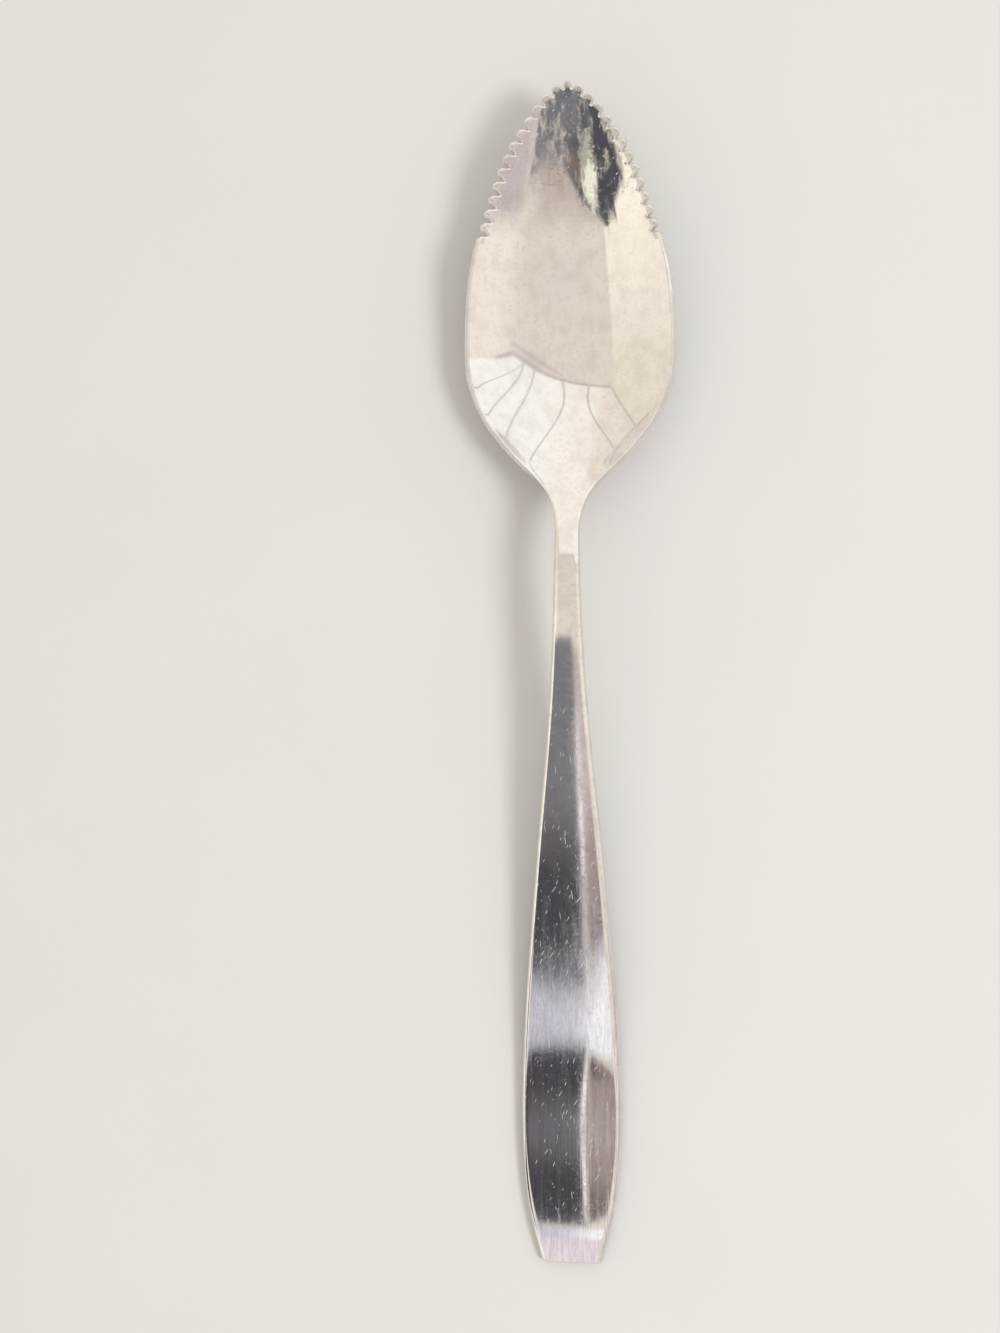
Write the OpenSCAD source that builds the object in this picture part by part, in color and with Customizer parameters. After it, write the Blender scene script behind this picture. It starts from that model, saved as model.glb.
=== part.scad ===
// A grapefruit spoon, stamped from one sheet of stainless steel: a toothed tip, a dished bowl,
// a narrow raised neck and a flat handle that widens and then tapers to a blunt end.
// It lies on its back along Y, with the tip at +Y, and rests on Z = 0.
// The steel is one piece. Each region of it is a solid of its own, and neighbours share a flat face.

/* [Overall] */
// Length from the tip to the end of the handle
spoon_l = 160; // [140:1:180]

/* [Bowl] */
// Length of the bowl, from the tip to where its heel runs into the neck
bowl_l = 56; // [50:1:62]
// Width of the bowl at its widest place
bowl_w = 29; // [25:0.5:33]
// Height of the tip's face above the table
tip_h = 10.4; // [8:0.2:12]
// Thickness of the sheet at the bowl's floor
bowl_t = 1.15; // [0.9:0.05:1.4]
// Thickness of the sheet at the tip
tip_t = 0.7; // [0.6:0.05:1]
// Rounding of the bowl's edge
bowl_edge_r = 0.25; // [0.1:0.05:0.3]

/* [Teeth] */
// Length of the toothed part, from the tip to the shoulder behind the last notch
toothed_l = 20.4; // [18:0.2:23]
// Teeth on each side, besides the one at the tip
tooth_n = 12; // [9:1:14]
// Depth of the notches between the teeth
tooth_depth = 0.85; // [0.7:0.05:0.95]
// Radius of a tooth's crest
crest_r = 0.74; // [0.6:0.02:0.8]
// Radius at the bottom of a notch
root_r = 0.06; // [0.04:0.01:0.1]
// Rounding along the upper edge of the teeth
tooth_edge_r = 0.3; // [0.2:0.02:0.32]

/* [Neck] */
// Length of the neck between the bowl's heel and the handle
neck_l = 13; // [10:1:18]
// Width of the neck at its narrowest place
neck_w = 3.35; // [2.8:0.05:4.4]
// Thickness of the neck
neck_t = 2.3; // [1.8:0.1:3]
// Height of the neck's face above the table
arch_h = 10.8; // [8:0.2:13]

/* [Handle] */
// Width of the handle at its widest place
handle_w = 13.8; // [11:0.2:17]
// Thickness of the handle near its end
handle_t = 2; // [1.6:0.1:2.6]
// Radius of the handle's crowned face, seen across it
crown_r = 90; // [60:5:200]
// Rounding along the upper edges of the neck and handle
handle_edge_r = 0.8; // [0.4:0.05:0.9]

/* [Handle end] */
// Length of the thinned end of the handle
end_l = 10; // [7:0.5:14]
// Width of the blunt end
end_w = 8.2; // [6.6:0.2:10]
// Thickness of the blunt end
end_t = 1.5; // [1.2:0.1:2]
// Rounding round the blunt end
end_edge_r = 0.55; // [0.3:0.05:0.6]

/* [Hidden] */

bowl_half = bowl_w / 2;
neck_half = neck_w / 2;
handle_half = handle_w / 2;
end_half = end_w / 2;
grip_l = spoon_l - bowl_l;

// Places along the spoon, measured from the tip, where one region ends and the next begins
shoulder_share = 1.03;
shoulder_at = toothed_l * shoulder_share;
neck_at = bowl_l;
handle_at = neck_at + neck_l;
end_at = spoon_l - end_l;

// The outline, as [share of the half width, share of the bowl's length or the grip's length].
// In front the half width is a share of the bowl's, at the heel of the step from neck to bowl,
// along the grip of the step from neck to handle, and at the end of the step from end to handle.
front_shares = [[0, 0], [0.134, 0.0132], [0.246, 0.036], [0.41, 0.089], [0.552, 0.146],
    [0.666, 0.206], [0.758, 0.27], [0.84, 0.335], [0.914, 0.4], [0.974, 0.492], [1, 0.616]];
heel_shares = [[0.985, 0.688], [0.92, 0.742], [0.8, 0.8], [0.605, 0.86], [0.36, 0.919],
    [0.204, 0.953], [0.096, 0.985]];
grip_shares = [[0.022, 0.024], [0, 0.066], [0.034, 0.126], [0.103, 0.203], [0.253, 0.307],
    [0.456, 0.411], [0.649, 0.517], [0.835, 0.624], [0.967, 0.731], [1, 0.803]];
end_shares = [[0.93, 0.862], [0.72, 0.917], [0.29, 0.97], [0, 1]];

// Height of the face along the middle, as [share of the rise, share of the length].
// The rise is from floor to tip, from floor to the top of the arch, and from end to arch.
keel_shares = [[1, 0], [0.697, 0.116], [0.444, 0.232], [0.215, 0.375], [0.065, 0.518], [0, 0.66]];
throat_shares = [[0.036, 0.75], [0.177, 0.821], [0.419, 0.893], [0.634, 0.946], [0.806, 1]];
arch_shares = [[0.9375, 0.038], [1, 0.077], [0.97, 0.135], [0.82, 0.231], [0.632, 0.346],
    [0.447, 0.462], [0.3032, 0.558], [0.192, 0.635], [0.1136, 0.692], [0.0693, 0.731],
    [0.041, 0.769], [0.0205, 0.827], [0.0125, 0.87]];
end_drop_shares = [[1, 0.925], [0.7, 0.965], [0, 1]];

// Hollow across the bowl, as [half width over cross radius, share of the bowl's length]
hollow_shares = [[1.5, 0], [1.36, 0.116], [1.04, 0.232], [0.85, 0.375], [0.75, 0.518],
    [0.71, 0.65], [0.755, 0.75], [0.85, 0.821], [1.05, 0.893], [1.1, 0.946], [0.7, 1]];
// Places on the grip where the cross shape has turned into the handle's crown
crown_shares = [0.05, 0.11, 0.25, 0.5, 0.75, 1];

// Thickness, as [share of the step from bowl to neck, share of the bowl's length]
stock_shares = [[0, 0.66], [0.12, 0.821], [0.45, 0.946]];
// Places on the grip where the neck's thickness has gone over into the handle's
thin_shares = [[1, 0.077], [0.5, 0.3], [0.1, 0.6], [0, 0.788], [0, 0.87]];

// Shares of the wall's height that the upper and the lower edge rounding may take
upper_edge_share = 0.55;
lower_edge_share = 0.35;
// The centre line of the tip's mesh stops this share of the way to the tip
focus_share = 0.86;
// Half the step over which a direction on the outline is measured
probe_share = 0.0005;
probe = bowl_l * probe_share;
// The bowl's edge starts to turn into the handle's at this share of the bowl's length
edge_turn_share = 0.9;

// Counts of the mesh: strips from the middle to an edge, steps round an edge, and rows.
// A place on the outline is found by halving its run this many times.
halvings = 40;
strips = 7;
edge_steps = 2;
bowl_rows = 26;
neck_rows = 8;
handle_rows = 16;
end_rows = 5;
end_steps = 3;
crest_steps = 3;
root_steps = 1;
drop_steps = 400;
run_steps = 160;
last = 2 * strips + 1 + 2 * edge_steps;

// A natural cubic curve through values at knots: its bends, then its value at one place
function sweep_down(h, r, i, c, d, out) = i == len(r) ? out :
    let (w = 2 * (h[i] + h[i + 1]) - h[i] * c, c2 = h[i + 1] / w, d2 = (r[i] - h[i] * d) / w)
    sweep_down(h, r, i + 1, c2, d2, concat(out, [[c2, d2]]));
function sweep_up(cd, i, m, out) = i < 0 ? out :
    let (m2 = cd[i][1] - cd[i][0] * m)
    sweep_up(cd, i - 1, m2, concat([m2], out));
function bends(t, v) =
    let (h = [for (i = [0 : len(t) - 2]) t[i + 1] - t[i]],
         r = [for (i = [1 : len(t) - 2])
             6 * ((v[i + 1] - v[i]) / h[i] - (v[i] - v[i - 1]) / h[i - 1])],
         zero = v[0] * 0,
         cd = sweep_down(h, r, 0, 0, zero, []))
    concat([zero], sweep_up(cd, len(cd) - 1, zero, []), [zero]);
function span_of(t, u, lo, hi) = hi - lo <= 1 ? lo :
    let (mid = floor((lo + hi) / 2))
    u < t[mid] ? span_of(t, u, lo, mid) : span_of(t, u, mid, hi);
function curve_at(t, v, m, u) =
    let (i = span_of(t, u, 0, len(t) - 1),
         h = t[i + 1] - t[i],
         p = (t[i + 1] - u) / h,
         q = (u - t[i]) / h)
    p * v[i] + q * v[i + 1]
    + ((pow(p, 3) - p) * m[i] + (pow(q, 3) - q) * m[i + 1]) * h * h / 6;
function column(table, i) = [for (row = table) row[i]];

// The outline's points, as [half width, distance from the tip], with the first few mirrored
// so that the curve runs square across the tip
right_side = concat(
    [for (p = front_shares) [p[0] * bowl_half, p[1] * bowl_l]],
    [for (p = heel_shares) [neck_half + p[0] * (bowl_half - neck_half), p[1] * bowl_l]],
    [for (p = grip_shares) [neck_half + p[0] * (handle_half - neck_half), bowl_l + p[1] * grip_l]],
    [for (p = end_shares) [end_half + p[0] * (handle_half - end_half), bowl_l + p[1] * grip_l]]);
mirrored = 3;
outline = concat([for (i = [mirrored : -1 : 1]) [-right_side[i][0], right_side[i][1]]], right_side);
function chords(points, i, sum, out) = i == len(points) ? out :
    let (s = sum + norm(points[i] - points[i - 1]))
    chords(points, i + 1, s, concat(out, [s]));
outline_run = chords(outline, 1, 0, [0]);
outline_bends = bends(outline_run, outline);
tip_u = outline_run[mirrored];
end_u = outline_run[len(outline) - 1];
function outline_at(u) = curve_at(outline_run, outline, outline_bends, u);
function outline_u(a, lo = tip_u, hi = end_u, n = halvings) = n == 0 ? (lo + hi) / 2 :
    let (mid = (lo + hi) / 2)
    outline_at(mid)[1] < a ? outline_u(a, mid, hi, n - 1) : outline_u(a, lo, mid, n - 1);

// Height of the face along the middle line
face_points = concat(
    [for (p = keel_shares) [p[1] * bowl_l, bowl_t + p[0] * (tip_h - bowl_t)]],
    [for (p = throat_shares) [p[1] * bowl_l, bowl_t + p[0] * (arch_h - bowl_t)]],
    [for (p = arch_shares) [bowl_l + p[1] * grip_l, handle_t + p[0] * (arch_h - handle_t)]],
    [for (p = end_drop_shares) [bowl_l + p[1] * grip_l, end_t + p[0] * (handle_t - end_t)]]);
face_run = column(face_points, 0);
face_h = column(face_points, 1);
face_bends = bends(face_run, face_h);

// Curvature across: hollow in the bowl, crowned along the handle
cross_points = concat(
    [for (p = hollow_shares) [p[1] * bowl_l, p[0] / bowl_half]],
    [for (i = [0 : len(crown_shares) - 1])
        [bowl_l + crown_shares[i] * grip_l, (i == 0 ? 0 : -1) / crown_r]]);
cross_run = column(cross_points, 0);
cross_value = column(cross_points, 1);
cross_bends = bends(cross_run, cross_value);
function cross_at(a) = curve_at(cross_run, cross_value, cross_bends, a);

// Thickness of the steel
steel_points = concat(
    [[0, tip_t]],
    [for (p = stock_shares) [p[1] * bowl_l, bowl_t + p[0] * (neck_t - bowl_t)]],
    [for (p = thin_shares) [bowl_l + p[1] * grip_l, handle_t + p[0] * (neck_t - handle_t)]],
    [for (p = end_drop_shares) [bowl_l + p[1] * grip_l, end_t + p[0] * (handle_t - end_t)]]);
steel_run = column(steel_points, 0);
steel_t = column(steel_points, 1);
steel_bends = bends(steel_run, steel_t);
function steel_at(a) = curve_at(steel_run, steel_t, steel_bends, a);

// The spoon is let down until the lowest place of its back touches the table
function raw_face(a) = curve_at(face_run, face_h, face_bends, a);
drop = min([for (i = [0 : drop_steps])
    let (a = spoon_l * i / drop_steps) raw_face(a) - steel_at(a)]);
function face_at(a) = raw_face(a) - drop;

// What holds for one distance from the tip: height, curvature, hollow, thickness
function station(a) = let (k = cross_at(a)) [face_at(a), k, max(k, 0), steel_at(a)];
function rise(x, k) = k * x * x / (1 + sqrt(1 - k * k * x * x));
function top_of(x, st) = st[0] + rise(x, st[1]);
function face_point(x, a, st) = [x, spoon_l / 2 - a, top_of(x, st)];
function back_point(x, a, st) =
    let (lean = st[2] * x, level = sqrt(1 - lean * lean))
    [x * (1 + st[2] * st[3]), spoon_l / 2 - a, st[0] + rise(x, st[2]) - st[3] * level];

// Half width of the face, which the leaning edge of the bowl makes narrower than the back
function corner_at(u) =
    let (p = outline_at(u), st = station(p[1]))
    [p[0] / (1 + st[2] * st[3]), p[1]];

// Half a cut across the steel, from the middle of the face round the edge to the middle of the
// back. It ends at corner c, [half width, distance from the tip], with the edge facing along
// out, a unit direction on the table, and starts on the middle line at centre_a.
function half_cut(c, out, centre_a, upper_r, lower_r, inset = 0) =
    let (st0 = station(c[1]),
         lean = st0[2] * c[0],
         level = sqrt(1 - lean * lean),
         lift = out[0] * lean / level,
         o = [out[0], out[1], lift] / sqrt(1 + lift * lift),
         n = [-lean, 0, level],
         down = [0, 0, inset],
         ui = [c[0] - upper_r * o[0], c[1] + upper_r * o[1]],
         li = [c[0] - lower_r * o[0], c[1] + lower_r * o[1]],
         us = station(ui[1]),
         ls = station(li[1]),
         upper = face_point(ui[0], ui[1], us) - down - upper_r * n,
         lower = back_point(li[0], li[1], ls) + down + lower_r * n)
    concat(
        [for (i = [0 : strips])
            let (f = i / strips, x = ui[0] * f, a = centre_a + (ui[1] - centre_a) * f)
            face_point(x, a, station(a)) - down],
        [for (i = [1 : edge_steps])
            let (q = 90 * i / edge_steps) upper + upper_r * (n * cos(q) + o * sin(q))],
        [for (i = [edge_steps : -1 : 1])
            let (q = 90 * i / edge_steps) lower + lower_r * (o * sin(q) - n * cos(q))],
        [for (i = [strips : -1 : 0])
            let (f = i / strips, x = li[0] * f, a = centre_a + (li[1] - centre_a) * f)
            back_point(x, a, station(a)) + down]);

// A flat cut square across the spoon. Near the blunt end it is drawn in by inset all round.
function blend(a, a0, a1) = let (f = min(max((a - a0) / (a1 - a0), 0), 1)) f * f * (3 - 2 * f);
function cut_at(a, inset = 0) =
    let (c = corner_at(outline_u(a)),
         wide = c[0] - inset,
         st = station(a),
         wall = st[3] + rise(wide, st[1]) - rise(wide, st[2]) - 2 * inset,
         edge = bowl_edge_r + (handle_edge_r - bowl_edge_r) * blend(a, bowl_l * edge_turn_share, handle_at))
    half_cut([wide, a], [1, 0], a,
        min(edge, upper_edge_share * wall), min(edge, lower_edge_share * wall), inset);
function mirror_x(points) = [for (p = points) [-p[0], p[1], p[2]]];
function whole_cut(half) =
    concat(half, mirror_x([for (i = [last - 1 : -1 : 1]) half[i]]));

// The faces of a lengthwise skin and of its two flat ends, as triangles
function quad(p, q, r, s) = [[p, q, r], [p, r, s]];
function turned(faces, yes) = yes ? [for (f = faces) [f[2], f[1], f[0]]] : faces;
function joined(lists) = [for (l = lists) for (x = l) x];
function lid(base, towards_tip) =
    let (ring = 2 * last)
    joined([for (k = [0 : (last - 1) / 2 - 1])
        concat(
            turned(quad(base + k, base + k + 1, base + last - k - 1, base + last - k), towards_tip),
            turned(quad(base + (ring - k) % ring, base + ring - k - 1,
                base + last + k + 1, base + last + k), !towards_tip))]);
module skin(cuts) {
    ring = 2 * last;
    rows = len(cuts) - 1;
    sides = joined([for (r = [0 : rows - 1]) for (j = [0 : ring - 1])
        let (p = r * ring, q = p + ring, j2 = (j + 1) % ring)
        quad(p + j, p + j2, q + j2, q + j)]);
    polyhedron(joined(cuts), concat(sides, lid(0, true), lid(rows * ring, false)), 1);
}
function cuts_between(a0, a1, n) = [for (i = [0 : n]) whole_cut(cut_at(a0 + (a1 - a0) * i / n))];

// The toothed edge. The run along the face's corner is measured once, from the tip.
shoulder_u = outline_u(shoulder_at);
function corner_runs(i, sum, from, out) = i > run_steps ? out :
    let (u = tip_u + (shoulder_u - tip_u) * i / run_steps,
         c = corner_at(u),
         s = sum + norm(c - from))
    corner_runs(i + 1, s, c, concat(out, [[s, u]]));
corner_run = corner_runs(1, 0, corner_at(tip_u), [[0, tip_u]]);
toothed_run = lookup(outline_u(toothed_l), [for (p = corner_run) [p[1], p[0]]]);
tooth_pitch = toothed_run / (tooth_n + 1);

// The flank of a tooth touches both the crest's arc and the notch's arc
root_drop = tooth_depth - root_r - crest_r;
flank_turn = 90 - (atan2(tooth_pitch / 2, root_drop)
    - asin((root_r + crest_r) / norm([tooth_pitch / 2, root_drop])));
// Half a tooth, from the middle of its crest to the bottom of the notch, as
// [run from the crest, depth, turn of the edge's direction]
half_tooth = concat(
    [for (i = [0 : crest_steps])
        let (q = flank_turn * i / crest_steps) [crest_r * sin(q), crest_r * (1 - cos(q)), q]],
    [for (i = [root_steps : -1 : 0])
        let (q = flank_turn * i / root_steps)
        [tooth_pitch / 2 - root_r * sin(q), tooth_depth - root_r * (1 - cos(q)), q]]);
half_n = len(half_tooth);
// A point of the toothed edge: its corner, the direction that the edge faces there, and how far
// from the tip the edge would be there without its notches
function toothed_corner(s, depth, turn) =
    let (u = lookup(s, corner_run),
         c = corner_at(u),
         step = corner_at(u + probe) - corner_at(u - probe),
         along = [step[0], -step[1]] / norm(step),
         square = [-along[1], along[0]])
    [[c[0] - depth * square[0], c[1] + depth * square[1]],
        square * cos(turn) + along * sin(turn), c[1]];
right_teeth = concat(
    [for (i = [0 : tooth_n]) for (j = [0 : 2 * half_n - 3])
        let (falling = j < half_n, h = half_tooth[falling ? j : 2 * half_n - 2 - j])
        falling ? toothed_corner(i * tooth_pitch + h[0], h[1], h[2])
            : toothed_corner((i + 1) * tooth_pitch - h[0], h[1], -h[2])],
    [toothed_corner(toothed_run, 0, 0)]);
// Ribs of the tip: from the middle line out to the toothed edge and back underneath
function rib(tooth) =
    let (share = (shoulder_at - tooth[2]) / shoulder_at)
    half_cut(tooth[0], tooth[1], shoulder_at * (1 - focus_share * share), tooth_edge_r, bowl_edge_r);
right_ribs = concat([for (t = right_teeth) rib(t)], [cut_at(shoulder_at)]);
module toothed_skin(ribs) {
    side_n = len(ribs) - 1;
    all_n = 2 * side_n;
    all = concat([for (i = [side_n : -1 : 1]) mirror_x(ribs[i])], ribs);
    row = last + 1;
    // The two halves share the points of the middle line
    function at(i, k) = (k == 0 || k == last ? max(i, all_n - i) : i) * row + k;
    // Split so that no triangle next to the middle rib has its three corners on the middle line
    sides = joined([for (i = [0 : all_n - 1]) for (k = [0 : last - 1])
        (i < side_n) == (k < last / 2)
            ? quad(at(i, k + 1), at(i + 1, k + 1), at(i + 1, k), at(i, k))
            : quad(at(i, k), at(i, k + 1), at(i + 1, k + 1), at(i + 1, k))]);
    seam = joined([for (k = [0 : (last - 1) / 2 - 1]) concat(
        quad(at(all_n, k), at(all_n, k + 1), at(all_n, last - k - 1), at(all_n, last - k)),
        turned(quad(at(0, k), at(0, k + 1), at(0, last - k - 1), at(0, last - k)), true))]);
    polyhedron(joined(all), concat(sides, seam), 1);
}

// The blunt end is drawn in along a quarter round
end_rounding = [for (i = [0 : end_steps])
    let (q = 90 * i / end_steps) [spoon_l - end_edge_r * (1 - sin(q)), end_edge_r * (1 - cos(q))]];

module serrated_tip() {
    color("silver") toothed_skin(right_ribs);
}

module bowl() {
    color("gainsboro") skin(cuts_between(shoulder_at, neck_at, bowl_rows));
}

module neck() {
    color("lightgray") skin(cuts_between(neck_at, handle_at, neck_rows));
}

module handle() {
    color("lightsteelblue") skin(cuts_between(handle_at, end_at, handle_rows));
}

module handle_end() {
    straight_l = end_l - end_edge_r;
    color("silver") skin(concat(
        [for (i = [0 : end_rows - 1]) whole_cut(cut_at(end_at + straight_l * i / end_rows))],
        [for (p = end_rounding) whole_cut(cut_at(p[0], p[1]))]));
}

serrated_tip();
bowl();
neck();
handle();
handle_end();
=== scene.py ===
"""A grapefruit spoon, stamped from one sheet of stainless steel, lying on its back on a pale table.

The spoon is pressed in five regions, toothed tip, bowl, neck, handle and handle end. Each starts as
a flat sheet that is rolled into a closed skin and pressed to the spoon's own curves.
"""

import math

import bpy
import numpy as np
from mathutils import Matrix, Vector


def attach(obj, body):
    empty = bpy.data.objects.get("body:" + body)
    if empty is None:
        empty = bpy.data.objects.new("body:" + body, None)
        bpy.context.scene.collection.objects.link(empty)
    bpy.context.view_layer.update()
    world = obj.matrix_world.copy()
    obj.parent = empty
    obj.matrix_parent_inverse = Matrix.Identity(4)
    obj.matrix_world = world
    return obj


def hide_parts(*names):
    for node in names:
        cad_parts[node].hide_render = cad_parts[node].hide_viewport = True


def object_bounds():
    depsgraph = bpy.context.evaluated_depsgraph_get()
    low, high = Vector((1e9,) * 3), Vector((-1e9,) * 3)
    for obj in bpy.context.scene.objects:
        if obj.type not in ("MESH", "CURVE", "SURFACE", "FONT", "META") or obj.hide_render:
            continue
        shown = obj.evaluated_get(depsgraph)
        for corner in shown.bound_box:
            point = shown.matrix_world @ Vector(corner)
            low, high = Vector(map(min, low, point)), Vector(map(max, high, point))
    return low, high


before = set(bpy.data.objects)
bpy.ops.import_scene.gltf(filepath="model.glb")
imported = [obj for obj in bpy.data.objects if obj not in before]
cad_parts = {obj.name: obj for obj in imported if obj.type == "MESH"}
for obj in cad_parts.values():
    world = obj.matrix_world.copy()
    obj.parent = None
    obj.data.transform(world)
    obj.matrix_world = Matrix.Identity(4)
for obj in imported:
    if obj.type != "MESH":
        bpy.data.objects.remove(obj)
cad_box = [list(corner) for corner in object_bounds()]

MM = 0.001

# The spoon's length comes from the frame, the rest are its own driving sizes, in metres
spoon_l = cad_box[1][1] - cad_box[0][1]
bowl_l = 56 * MM
bowl_w = 29 * MM
tip_h = 10.4 * MM
bowl_t = 1.15 * MM
tip_t = 0.7 * MM
bowl_edge_r = 0.25 * MM
toothed_l = 20.4 * MM
tooth_n = 12
tooth_depth = 0.85 * MM
crest_r = 0.74 * MM
root_r = 0.06 * MM
tooth_edge_r = 0.3 * MM
neck_l = 13 * MM
neck_w = 3.35 * MM
neck_t = 2.3 * MM
arch_h = 10.8 * MM
handle_w = 13.8 * MM
handle_t = 2 * MM
crown_r = 90 * MM
handle_edge_r = 0.8 * MM
end_l = 10 * MM
end_w = 8.2 * MM
end_t = 1.5 * MM
end_edge_r = 0.55 * MM

bowl_half = bowl_w / 2
neck_half = neck_w / 2
handle_half = handle_w / 2
end_half = end_w / 2
grip_l = spoon_l - bowl_l

# Places along the spoon, from the tip, where one region ends and the next begins
shoulder_share = 1.03
shoulder_at = toothed_l * shoulder_share
neck_at = bowl_l
handle_at = neck_at + neck_l
end_at = spoon_l - end_l

# The outline, as (share of the half width, share of the bowl's length or the grip's length).
# In front the half width is a share of the bowl's, at the heel of the step from neck to bowl,
# along the grip of the step from neck to handle, and at the end of the step from end to handle.
front_shares = ((0, 0), (0.134, 0.0132), (0.246, 0.036), (0.41, 0.089), (0.552, 0.146),
                (0.666, 0.206), (0.758, 0.27), (0.84, 0.335), (0.914, 0.4), (0.974, 0.492), (1, 0.616))
heel_shares = ((0.985, 0.688), (0.92, 0.742), (0.8, 0.8), (0.605, 0.86), (0.36, 0.919),
               (0.204, 0.953), (0.096, 0.985))
grip_shares = ((0.022, 0.024), (0, 0.066), (0.034, 0.126), (0.103, 0.203), (0.253, 0.307),
               (0.456, 0.411), (0.649, 0.517), (0.835, 0.624), (0.967, 0.731), (1, 0.803))
end_shares = ((0.93, 0.862), (0.72, 0.917), (0.29, 0.97), (0, 1))

# Height of the face along the middle, as (share of the rise, share of the length).
# The rise is from floor to tip, from floor to the top of the arch, and from end to arch.
keel_shares = ((1, 0), (0.697, 0.116), (0.444, 0.232), (0.215, 0.375), (0.065, 0.518), (0, 0.66))
throat_shares = ((0.036, 0.75), (0.177, 0.821), (0.419, 0.893), (0.634, 0.946), (0.806, 1))
arch_shares = ((0.9375, 0.038), (1, 0.077), (0.97, 0.135), (0.82, 0.231), (0.632, 0.346),
               (0.447, 0.462), (0.3032, 0.558), (0.192, 0.635), (0.1136, 0.692), (0.0693, 0.731),
               (0.041, 0.769), (0.0205, 0.827), (0.0125, 0.87))
end_drop_shares = ((1, 0.925), (0.7, 0.965), (0, 1))

# Hollow across the bowl, as (half width over cross radius, share of the bowl's length)
hollow_shares = ((1.5, 0), (1.36, 0.116), (1.04, 0.232), (0.85, 0.375), (0.75, 0.518),
                 (0.71, 0.65), (0.755, 0.75), (0.85, 0.821), (1.05, 0.893), (1.1, 0.946), (0.7, 1))
# Places on the grip where the cross shape has turned into the handle's crown
crown_shares = (0.05, 0.11, 0.25, 0.5, 0.75, 1)

# Thickness, as (share of the step from bowl to neck, share of the bowl's length)
stock_shares = ((0, 0.66), (0.12, 0.821), (0.45, 0.946))
# Places on the grip where the neck's thickness has gone over into the handle's
thin_shares = ((1, 0.077), (0.5, 0.3), (0.1, 0.6), (0, 0.788), (0, 0.87))

# Shares of the wall's height that the upper and the lower edge rounding may take
upper_edge_share = 0.55
lower_edge_share = 0.35
# The centre line of the tip's sheet stops this share of the way to the tip
focus_share = 0.86
# The bowl's edge starts to turn into the handle's at this share of the bowl's length
edge_turn_share = 0.9

# Counts of the sheet: strips from the middle to an edge, steps round an edge, and rows
strips = 30
edge_steps = 5
bowl_rows = 90
neck_rows = 34
handle_rows = 150
end_rows = 28
end_steps = 7
crest_steps = 7
flank_steps = 2
root_steps = 2

# Corners closer than seam_grid are one corner where two regions meet, and corners closer than
# weld_gap are welded. A face with more corners than sheet_corners closes the end of a skin.
seam_grid = 1e-6
weld_gap = 0.0002 * MM
sheet_corners = 4
# Steps for finding places along the outline, the teeth and the lowest place of the back
halvings = 50
toothed_steps = 400
probe_share = 1 / 2000
keel_steps = 2001

# Tones of the steel
polished_tone = (0.8, 0.78, 0.755)
hazed_tone = (0.77, 0.75, 0.73)
mottled_tone = (0.68, 0.655, 0.625)
bare_tone = (0.88, 0.865, 0.85)
scored_tone = (0.68, 0.67, 0.675)

# Tones of the floor and of what the steel mirrors
floor_tone = (0.58, 0.58, 0.575)
white_tone = (1, 1, 1)
ceiling_tone = (0.917, 0.844, 0.768)
wall_tone = (1.09, 1.0, 0.915)
lit_wall_tone = (1.24, 1.16, 1.0)
far_wall_tone = (1.01, 0.925, 0.8)
front_tone = (1.2, 1.18, 1.12)
middle_front_tone = (1.16, 1.1, 1.02)
left_front_tone = (1.02, 0.93, 0.84)
seam_tone = (0.5, 0.45, 0.42)
band_tone = (0.74, 0.74, 0.84)
bright_band_tone = (1.2, 1.19, 1.24)
end_tone = (0.95, 0.86, 0.92)
rosy_tone = (0.7, 0.62, 0.63)
tan_tone = (0.43, 0.35, 0.335)
umber_tone = (0.2, 0.155, 0.15)
brown_tone = (0.3, 0.22, 0.19)
slate_tone = (0.24, 0.24, 0.265)
dark_tone = (0.1, 0.1, 0.118)
deep_tone = (0.075, 0.07, 0.085)
pink_tone = (0.71, 0.6, 0.55)
oval_tone = (1.15, 1.15, 0.96)
edge_tone = (1.6, 1.52, 1.5)

# Noise of the brushing and of the smudges, and the thinnest scratch and a scratch's full core
brushing_detail = 3
smudge_detail = 4
smudge_unevenness = 0.55
thinnest_share = 0.3
core_share = 0.4

# The polish that runs over the whole spoon: roughness, and heights of its relief in metres
polish_roughness = 0.035
haze_roughness = 0.04
line_roughness = 0.02
wear_roughness = 0.2
mottle_share = 0.6
spot_share = 0.65
line_height = 0.6e-6
wear_height = -2e-6

# The grinding of the tip. It begins at the teeth's end and is full from this share of their
# length on to the tip. Each pair is where a fade begins and where it is full.
ground_share = 0.4
calm_tip_share = 0.2
wheel_streaks = (0.46, 0.74)
tooth_rim_mm = (1.15, 0.75)
wheel_roughness = 0.26
pit_roughness = 0.22
tip_wear_roughness = 0.5
tooth_roughness = 0.3
wheel_line_height = 1.5e-6
wheel_groove_height = 1e-6
pit_height = -6e-6
tip_wear_height = -4e-6

# The brushing of the handle, which comes in over brushed_share necks and scores its lower part
brushed_share = 1.2
scored_shares = (0.62, 0.75)
calm_handle_share = 0.4
groove_streaks = (0.45, 0.7)
bare_streaks = (0.44, 0.6)
scored_lines = (0.5, 0.38)
bare_share = 0.6
groove_roughness = 0.035
brushed_line_roughness = 0.02
grit_roughness = 0.03
handle_wear_roughness = 0.5
brushed_height = 0.5e-6
handle_wear_height = -5e-6

floor_size = 3
floor_roughness = 0.9
floor_sheen = 0.1
floor_cloud_lift = 1.01

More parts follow.
